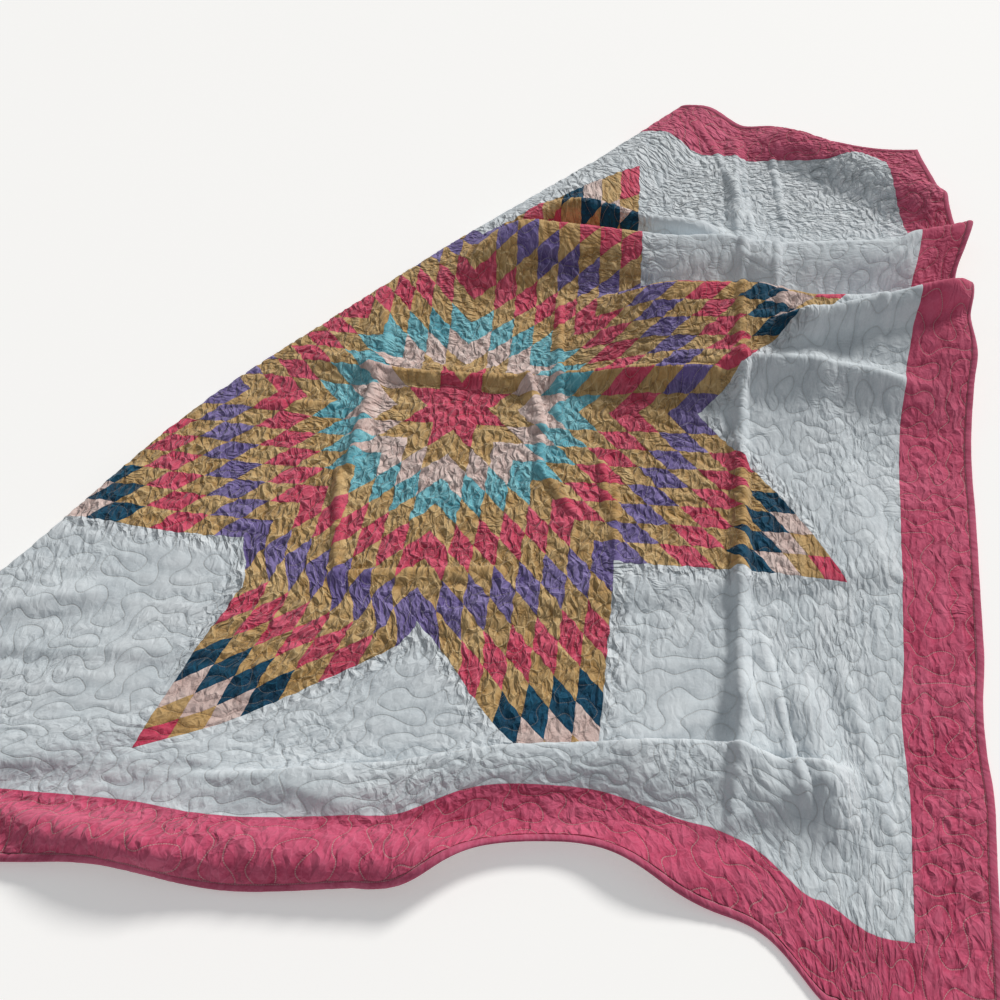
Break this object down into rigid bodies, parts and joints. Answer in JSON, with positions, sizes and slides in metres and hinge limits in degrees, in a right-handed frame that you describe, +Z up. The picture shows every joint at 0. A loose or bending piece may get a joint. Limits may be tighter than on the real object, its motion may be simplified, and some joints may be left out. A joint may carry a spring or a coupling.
{
  "type": "patchwork star quilt",
  "caption": "Bed quilt laid out in soft folds: a large star pieced from small diamonds on a pale stippled field, a pink border and a bound edge, with one corner turned under.",
  "frame": {"origin": "centre of the laid quilt's bounding box, on the surface that it lies on", "axes": "+Z up from that surface, +Y from the near edge to the far edge, +X to the right seen from the near edge"},
  "size_m": [1.8125, 1.8228, 0.1122],
  "materials": {
    "centre_cloth": "matt quilted cotton",
    "border_cloth": "matt quilted cotton",
    "binding_cloth": "matt cotton binding"
  },
  "bodies": {
    "root": {"quilted_centre": "centre_cloth", "border_far": "border_cloth", "border_near": "border_cloth", "border_left": "border_cloth", "border_right": "border_cloth", "binding_far": "binding_cloth", "binding_near": "binding_cloth", "binding_left": "binding_cloth", "binding_right": "binding_cloth"}
  },
  "joints": []
}
